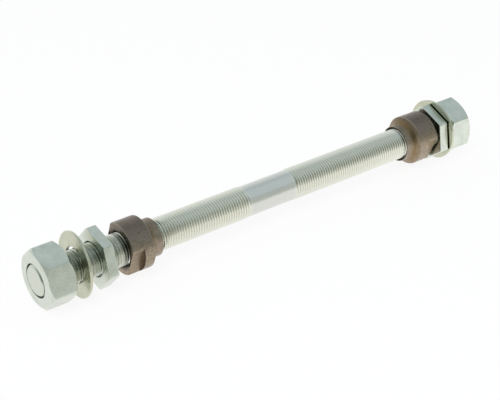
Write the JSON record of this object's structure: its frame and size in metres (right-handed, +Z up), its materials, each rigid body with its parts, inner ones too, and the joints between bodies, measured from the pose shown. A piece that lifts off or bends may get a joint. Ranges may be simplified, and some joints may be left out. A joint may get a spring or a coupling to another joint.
{
  "type": "front wheel axle",
  "caption": "Solid threaded steel front wheel axle for a cup-and-cone hub, with bearing cones, thin lock nuts, plain washers and tall hexagon axle nuts at both ends.",
  "frame": {"origin": "on the surface that the axle lies on, midway between the two ends of the axle", "axes": "+X along the axle towards its right end, +Z up"},
  "size_m": [0.1764, 0.0218, 0.0218],
  "materials": {
    "zinc_plate": "bright zinc plating",
    "hardened_steel": "hardened, brown-grey"
  },
  "bodies": {
    "axle": {"axle": "zinc_plate"},
    "left_cone": {"left_cone": "hardened_steel"},
    "left_lock_nut": {"left_lock_nut": "zinc_plate"},
    "left_washer": {"left_washer": "zinc_plate"},
    "left_axle_nut": {"left_axle_nut": "zinc_plate"},
    "right_cone": {"right_cone": "hardened_steel"},
    "right_lock_nut": {"right_lock_nut": "zinc_plate"},
    "right_washer": {"right_washer": "zinc_plate"},
    "right_axle_nut": {"right_axle_nut": "zinc_plate"}
  },
  "joints": [
    {"name": "left_cone_travel", "type": "slide", "parent": "axle", "child": "left_cone", "axis": [1, 0, 0], "range_m": [0, 0.034]},
    {"name": "left_lock_nut_travel", "type": "slide", "parent": "axle", "child": "left_lock_nut", "axis": [1, 0, 0], "range_m": [0, 0.0059]},
    {"name": "left_washer_travel", "type": "slide", "parent": "axle", "child": "left_washer", "axis": [1, 0, 0], "range_m": [0, 0.0047]},
    {"name": "left_axle_nut_travel", "type": "slide", "parent": "axle", "child": "left_axle_nut", "axis": [1, 0, 0], "range_m": [-0.02, 0.0031]},
    {"name": "right_cone_travel", "type": "slide", "parent": "axle", "child": "right_cone", "axis": [1, 0, 0], "range_m": [-0.048, 0]},
    {"name": "right_lock_nut_travel", "type": "slide", "parent": "axle", "child": "right_lock_nut", "axis": [1, 0, 0], "range_m": [-0.0009, 0]},
    {"name": "right_washer_travel", "type": "slide", "parent": "axle", "child": "right_washer", "axis": [1, 0, 0], "range_m": [-0.0003, 0]},
    {"name": "right_axle_nut_travel", "type": "slide", "parent": "axle", "child": "right_axle_nut", "axis": [1, 0, 0], "range_m": [-0.0003, 0.02]}
  ]
}
